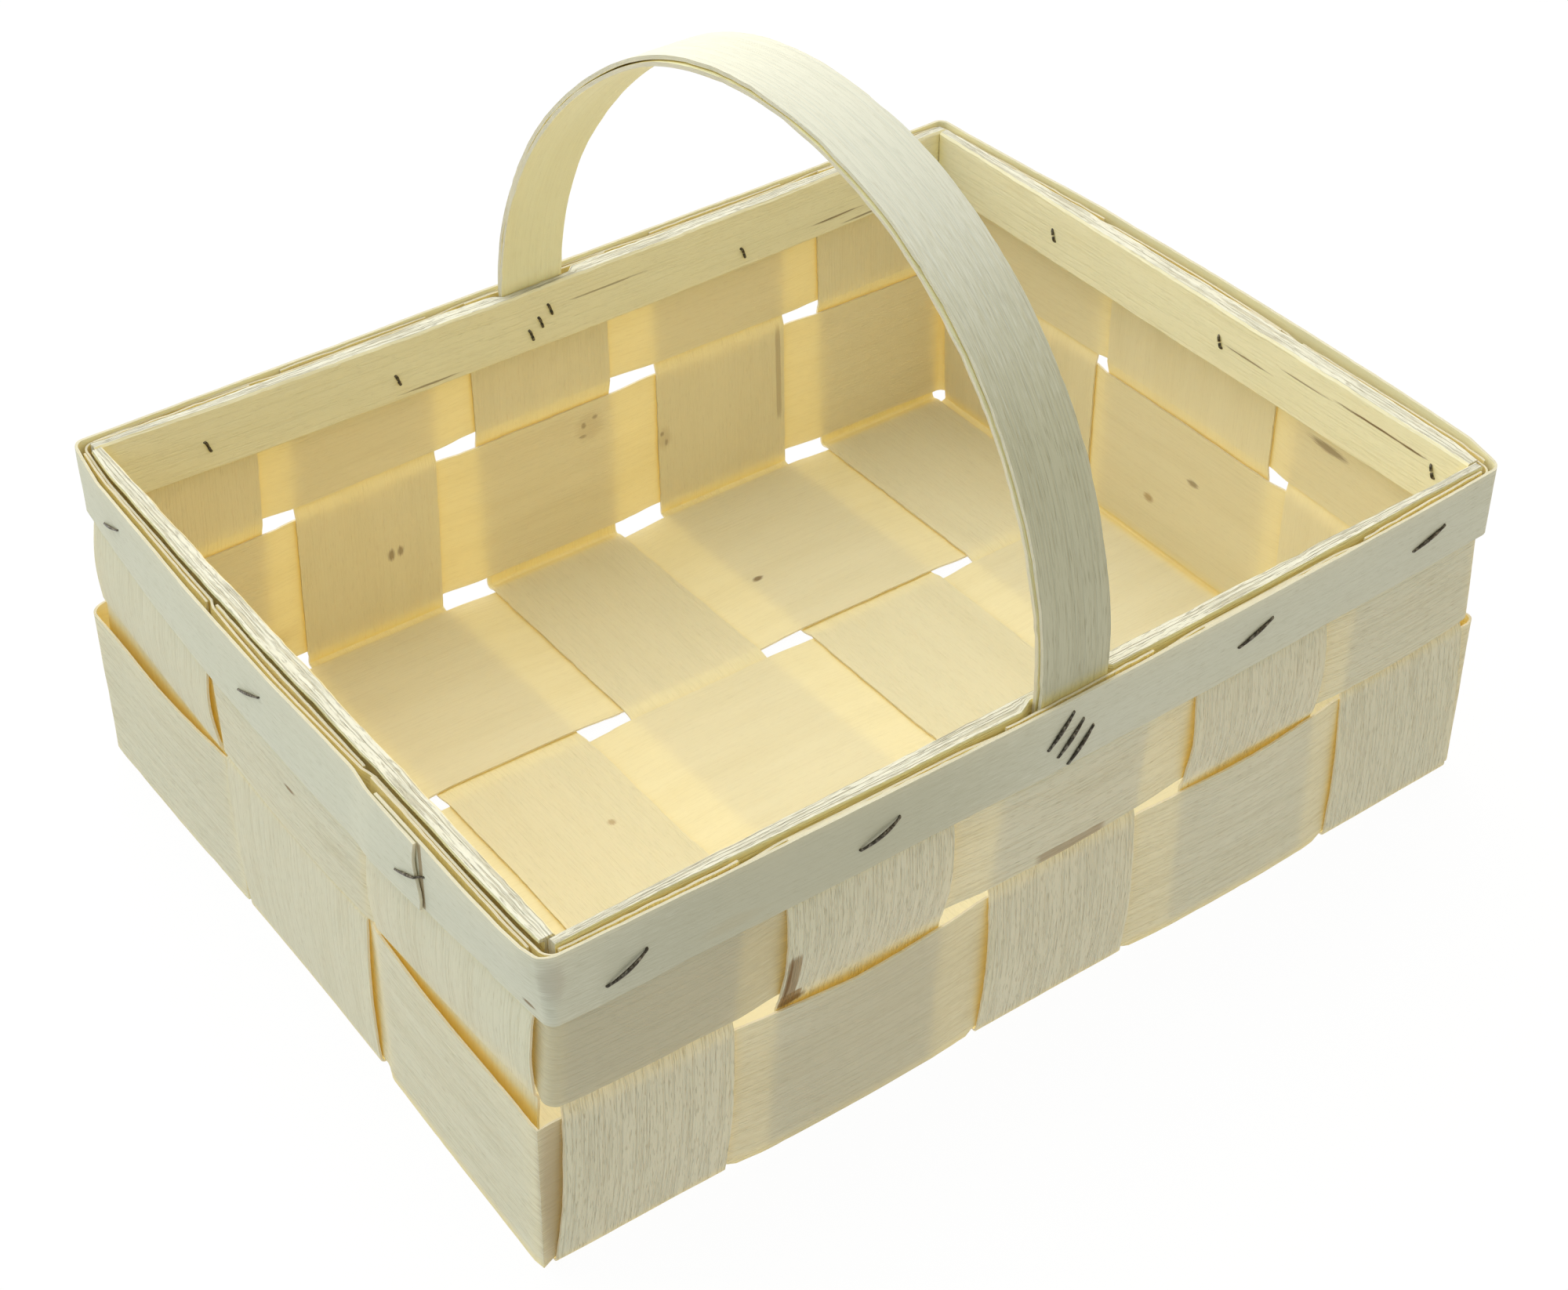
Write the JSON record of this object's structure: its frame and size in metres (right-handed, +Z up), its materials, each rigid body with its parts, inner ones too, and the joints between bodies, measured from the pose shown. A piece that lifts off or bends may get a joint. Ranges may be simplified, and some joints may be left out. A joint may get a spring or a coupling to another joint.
{
  "type": "bail handle basket",
  "caption": "Rectangular basket woven from wide wood splints, with a stapled wooden rim and a fixed arched wooden handle across its short direction.",
  "frame": {"origin": "on the surface that the basket stands on, under the middle of its bounding box", "axes": "+X along the long side, +Y along the short side from the front wall to the back wall, +Z up"},
  "size_m": [0.417, 0.3182, 0.2985],
  "materials": {
    "strip_veneer": "raw sliced veneer, warm and slightly translucent",
    "band_veneer": "raw sliced veneer, straight fine grain",
    "rim_wood": "raw sawn wood with fibrous edges",
    "handle_wood": "raw bent wood with long fine cracks",
    "staple_wire": "dull steel wire"
  },
  "bodies": {
    "root": {"cross_strip_1": "strip_veneer", "cross_strip_2": "strip_veneer", "cross_strip_3": "strip_veneer", "cross_strip_4": "strip_veneer", "cross_strip_5": "strip_veneer", "long_strip_1": "strip_veneer", "long_strip_2": "strip_veneer", "long_strip_3": "strip_veneer", "lower_band": "band_veneer", "upper_band": "band_veneer", "rim_hoop": "rim_wood", "inner_rim_front": "rim_wood", "inner_rim_back": "rim_wood", "inner_rim_left": "rim_wood", "inner_rim_right": "rim_wood", "handle_outer_ply": "handle_wood", "handle_inner_ply": "handle_wood", "staple_front_1": "staple_wire", "staple_front_2": "staple_wire", "staple_front_3": "staple_wire", "staple_front_4": "staple_wire", "staple_back_1": "staple_wire", "staple_back_2": "staple_wire", "staple_back_3": "staple_wire", "staple_back_4": "staple_wire", "staple_left_1": "staple_wire", "staple_left_2": "staple_wire", "staple_left_3": "staple_wire", "staple_right_1": "staple_wire", "staple_right_2": "staple_wire", "staple_right_3": "staple_wire", "staple_handle_front_1": "staple_wire", "staple_handle_front_2": "staple_wire", "staple_handle_front_3": "staple_wire", "staple_handle_back_1": "staple_wire", "staple_handle_back_2": "staple_wire", "staple_handle_back_3": "staple_wire"}
  },
  "joints": []
}
